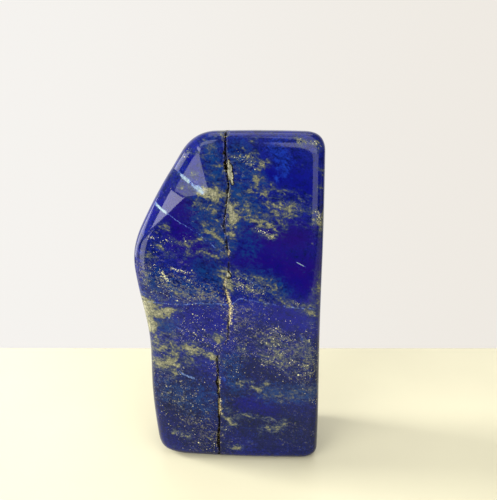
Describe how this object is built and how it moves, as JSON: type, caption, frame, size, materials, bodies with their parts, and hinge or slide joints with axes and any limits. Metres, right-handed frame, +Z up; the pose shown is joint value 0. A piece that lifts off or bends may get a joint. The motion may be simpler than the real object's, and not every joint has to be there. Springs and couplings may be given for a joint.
{
  "type": "polished lapis lazuli freeform",
  "caption": "Upright free-form of polished lapis lazuli with a flat ground foot, an angled upper left corner and a long open fissure.",
  "frame": {"origin": "middle of the bounding box's base, on the flat foot", "axes": "+Z up along the stone's height, +X to the right across the broad front, +Y from the front to the back"},
  "size_m": [0.0632, 0.0352, 0.1174],
  "materials": {
    "lapis": "polished stone: ultramarine lazurite with cream calcite and gold pyrite"
  },
  "bodies": {
    "root": {"lapis_lazuli": "lapis"}
  },
  "joints": []
}
